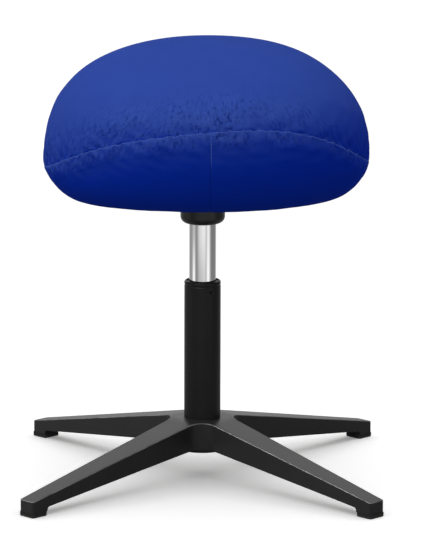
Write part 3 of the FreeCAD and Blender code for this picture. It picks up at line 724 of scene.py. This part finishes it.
def stitch_nodes():
    tree = bpy.data.node_groups.new("stitches", "GeometryNodeTree")
    face = tree.interface
    face.new_socket("Line", in_out="INPUT", socket_type="NodeSocketGeometry")
    sizes = []
    for word in ("Pitch", "Length", "Thickness"):
        sizes.append(face.new_socket(word, in_out="INPUT", socket_type="NodeSocketFloat"))
    face.new_socket("Stitches", in_out="OUTPUT", socket_type="NodeSocketGeometry")
    made = {}
    for word, kind in (("given", "NodeGroupInput"), ("result", "NodeGroupOutput"),
                       ("curve", "GeometryNodeMeshToCurve"), ("points", "GeometryNodeResampleCurve"),
                       ("bead", "GeometryNodeMeshUVSphere"), ("size", "ShaderNodeCombineXYZ"),
                       ("shape", "GeometryNodeTransform"), ("tangent", "GeometryNodeInputTangent"),
                       ("lay", "FunctionNodeAlignRotationToVector"), ("uneven", "FunctionNodeRandomValue"),
                       ("copies", "GeometryNodeInstanceOnPoints"), ("solid", "GeometryNodeRealizeInstances"),
                       ("finish", "GeometryNodeSetMaterial")):
        made[word] = tree.nodes.new(kind)
    made["points"].mode = "LENGTH"
    made["lay"].axis = "X"
    made["bead"].inputs["Segments"].default_value = 6
    made["bead"].inputs["Rings"].default_value = 5
    made["bead"].inputs["Radius"].default_value = 0.5
    made["uneven"].inputs["Min"].default_value = 0.85
    made["uneven"].inputs["Max"].default_value = 1.1
    made["uneven"].inputs["Seed"].default_value = 3
    made["finish"].inputs["Material"].default_value = thread
    for a, b, c, d in (("given", "Line", "curve", "Mesh"), ("curve", "Curve", "points", "Curve"),
                       ("given", "Pitch", "points", "Length"), ("given", "Length", "size", "X"),
                       ("given", "Thickness", "size", "Y"), ("given", "Thickness", "size", "Z"),
                       ("bead", "Mesh", "shape", "Geometry"), ("size", "Vector", "shape", "Scale"),
                       ("tangent", "Tangent", "lay", "Vector"), ("points", "Curve", "copies", "Points"),
                       ("shape", "Geometry", "copies", "Instance"), ("lay", "Rotation", "copies", "Rotation"),
                       ("uneven", "Value", "copies", "Scale"), ("copies", "Instances", "solid", "Geometry"),
                       ("solid", "Geometry", "finish", "Geometry"),
                       ("finish", "Geometry", "result", "Stitches")):
        leaves = next(s for s in made[a].outputs if s.name == b and s.enabled)
        tree.links.new(leaves, made[c].inputs[d])
    return tree, sizes


tree, sizes = stitch_nodes()
sew = stitches.modifiers.new("sew", "NODES")
sew.node_group = tree
for socket, value in zip(sizes, (stitch_pitch, stitch_long, stitch_thick)):
    sew[socket.identifier] = value
sewn = bpy.data.meshes.new_from_object(stitches.evaluated_get(bpy.context.evaluated_depsgraph_get()))
stitches.modifiers.remove(sew)
stitches.data = sewn
sewn.polygons.foreach_set("use_smooth", [True] * len(sewn.polygons))
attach(stitches, "seat")

# Floor. A plain pale studio floor that carries only the base's soft shadow and fades to white further out.
# For the camera it glows white, wholly from half a metre out and in part nearer in, which lightens the
# shadow.
# It is a plain grey for the light that it throws back, and clear from below.
floor_half = 40
shadow_near = 0.20
shadow_far = 0.50
least_glow = 0.143
floor = bpy.data.objects.new("floor", bpy.data.meshes.new("floor"))
corners = [(x * floor_half, y * floor_half, 0) for x, y in ((-1, -1), (1, -1), (1, 1), (-1, 1))]
floor.data.from_pydata(corners, [], [(0, 1, 2, 3)])
scene.collection.objects.link(floor)
floor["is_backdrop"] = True
paper = bpy.data.materials.new("paper")
paper.use_nodes = True
wire = Wire(paper.node_tree)
paper.node_tree.nodes.remove(paper.node_tree.nodes["Principled BSDF"])
from_middle = wire.node("VectorMath", {"operation": "LENGTH"}, {"Vector": own_place(wire)}, "Value")
# painted light: for the camera the floor glows white, in part even near the base, so the shadow is lighter
# and fades out
faded = from_middle.spread(shadow_near, shadow_far, least_glow, smooth=True)
shaded = wire.node("BsdfDiffuse", {}, {"Color": (1.66, 1.65, 1.63, 1)})
white_glow = wire.node("Emission", {}, {"Strength": 1.05})
shown = wire.node("MixShader", {}, {"Fac": faded, "Shader": shaded, "Shader_001": white_glow})
bounced = wire.node("BsdfDiffuse", {}, {"Color": (0.52, 0.52, 0.52, 1)})
seen = wire.node("LightPath", out="Is Camera Ray")
above_floor = wire.node("MixShader", {}, {"Fac": seen, "Shader": bounced, "Shader_001": shown})
from_below = wire.node("NewGeometry", out="Backfacing")
clear = wire.node("BsdfTransparent")
both = wire.node("MixShader", {}, {"Fac": from_below, "Shader": above_floor, "Shader_001": clear})
paper.node_tree.links.new(both.socket, paper.node_tree.nodes["Material Output"].inputs["Surface"])
floor.data.materials.append(paper)

# Light. A broad soft key from the upper left in front, a wide light overhead, and an even white room.
# Two weak blue lights from the sides reach only the cloth, and a wash only the floor.
# A small lamp from the left reaches only the base, and catches an edge of the right front leg.
room_light = 0.47
room_shown = 0.6
room = bpy.data.worlds.new("room")
scene.world = room
room.use_nodes = True
wire = Wire(room.node_tree)
seen = wire.node("LightPath", out="Is Camera Ray")
sky = room.node_tree.nodes["Background"]
room.node_tree.links.new((room_light + room_shown * seen).socket, sky.inputs["Strength"])
sky.inputs["Color"].default_value = (1, 1, 1, 1)


def soft_light(name, place, target, size, power, tint=(1, 1, 1)):
    lamp = bpy.data.lights.new(name, "AREA")
    lamp.shape = "DISK"
    lamp.size = size
    lamp.energy = power
    lamp.color = tint
    stand = bpy.data.objects.new(name, lamp)
    stand.location = place
    stand.rotation_euler = (Vector(target) - Vector(place)).to_track_quat("-Z", "Y").to_euler()
    scene.collection.objects.link(stand)
    return stand


side_blue = (0.2, 0.5, 1.0)
overhead = soft_light("overhead", (0.06, 0.20, 2.3), (0, 0, 0.4), 2.7, 20)
wash = soft_light("wash", (0, 0.05, 2.3), (0, 0, 0), 4.5, 29)
key = soft_light("key", (-1.3, -2.1, 1.95), (0, 0, 0.4), 2.4, 58)
fill = soft_light("fill", (2.2, -0.6, 0.5), (0, 0, 0.35), 1.6, 11, side_blue)
low_left = soft_light("low_left", (-2.2, -0.4, 0.4), (0, 0, 0.35), 1.6, 8, side_blue)
edge_lamp = soft_light("edge_lamp", (-1.63, -0.08, 1.72), (0.09, -0.09, 0.04), 0.3, 52)
for lamp, lit_pieces in ((key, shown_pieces()), (fill, panels.values()), (low_left, panels.values()),
                         (edge_lamp, [nodes["star_base"]]), (overhead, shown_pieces()), (wash, [floor])):
    lit = bpy.data.collections.new("lit_by_" + lamp.name)
    for piece in lit_pieces:
        lit.objects.link(piece)
    lamp.light_linking.receiver_collection = lit

# Light cards. A low ring of cards round the object that only the bright tube and the black coat reflect.
# Each band is given by its bearing in degrees from the front, and its glare at the ring's foot and higher up.
card_ring = 0.9
card_foot = 0.002
card_top = 0.9
card_count = 96
card_boost = 0.58
bands = ((-180, 0.70, 0.70), (-150, 0.65, 0.65), (-138, 0.36, 0.36), (-114, 0.36, 0.36), (-100, 0.44, 0.40),
         (-88, 1.04, 0.60), (-75, 1.36, 0.64), (-65, 0.54, 0.44), (-57, 0.33, 0.31), (-48, 0.33, 0.36),
         (-38, 0.44, 0.62), (-28, 0.60, 0.82), (-5, 0.72, 1.00), (16, 0.80, 1.06), (22, 0.74, 0.92),
         (30, 0.60, 0.66), (35, 0.80, 0.76), (42, 1.20, 1.02), (52, 1.28, 1.12), (62, 0.85, 0.80),
         (72, 0.38, 0.36), (82, 0.25, 0.23), (126, 0.25, 0.25), (138, 0.34, 0.34), (150, 0.65, 0.65),
         (180, 0.70, 0.70))
cards = bpy.data.objects.new("cards", bpy.data.meshes.new("cards"))
angles = [2 * math.pi * k / card_count for k in range(card_count)]
round_places = [(card_ring * math.cos(a), card_ring * math.sin(a)) for a in angles]
corners = [(*place, z) for z in (card_foot, card_top) for place in round_places]
pairs = [(k, (k + 1) % card_count) for k in range(card_count)]
cards.data.from_pydata(corners, [], [(a, card_count + a, card_count + b, b) for a, b in pairs])
scene.collection.objects.link(cards)
cards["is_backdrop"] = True
cards.visible_camera = False
cards.visible_diffuse = False
cards.visible_shadow = False
cards.visible_transmission = False
glow = bpy.data.materials.new("glow")
glow.use_nodes = True
wire = Wire(glow.node_tree)
glow.node_tree.nodes.remove(glow.node_tree.nodes["Principled BSDF"])
at = own_place(wire)
x = at.part("X")
y = at.part("Y")
up = at.part("Z")
bearing = 0.5 + x.maths("ARCTAN2", x, 0 - y) * (0.5 / math.pi)
foot_stops = [(0.5 + degrees / 360, (foot, foot, foot, 1)) for degrees, foot, head in bands]
head_stops = [(0.5 + degrees / 360, (head, head, head, 1)) for degrees, foot, head in bands]
foot_glare = wire.node("ValToRGB", {"stops": foot_stops}, {"Fac": bearing}, "Color")
head_glare = wire.node("ValToRGB", {"stops": head_stops}, {"Fac": bearing}, "Color")
climb = up.spread(0.035, 0.085)
high = up.spread(0.25, 0.40)
behind = y.spread(0.3, 0.75)
glare = blend(climb, foot_glare, head_glare)
boost = 1 + card_boost * high * behind
boosted = wire.node("VectorMath", {"operation": "SCALE"}, {"Vector": glare, "Scale": boost})
card_light = wire.node("Emission", {}, {"Color": boosted})
glow.node_tree.links.new(card_light.socket, glow.node_tree.nodes["Material Output"].inputs["Surface"])
cards.data.materials.append(glow)

# Camera. A long lens about four and a half metres off, looking down a little over eleven degrees.
# Its place, its turn and its small roll are fitted to the picture's frame.
camera_place = (0.0047, -4.3571, 1.1086)
pan = math.radians(-0.0532)
tilt = math.radians(90 - 11.5386)
roll = math.radians(0.1635)
view = bpy.data.cameras.new("view")
view.sensor_width = 36
view.lens = 284.897
camera = bpy.data.objects.new("view", view)
aim = Matrix.Rotation(pan, 4, "Z") @ Matrix.Rotation(tilt, 4, "X") @ Matrix.Rotation(roll, 4, "Z")
camera.matrix_world = Matrix.Translation(camera_place) @ aim
scene.collection.objects.link(camera)
scene.camera = camera
scene.view_settings.view_transform = "Standard"

bpy.context.view_layer.update()
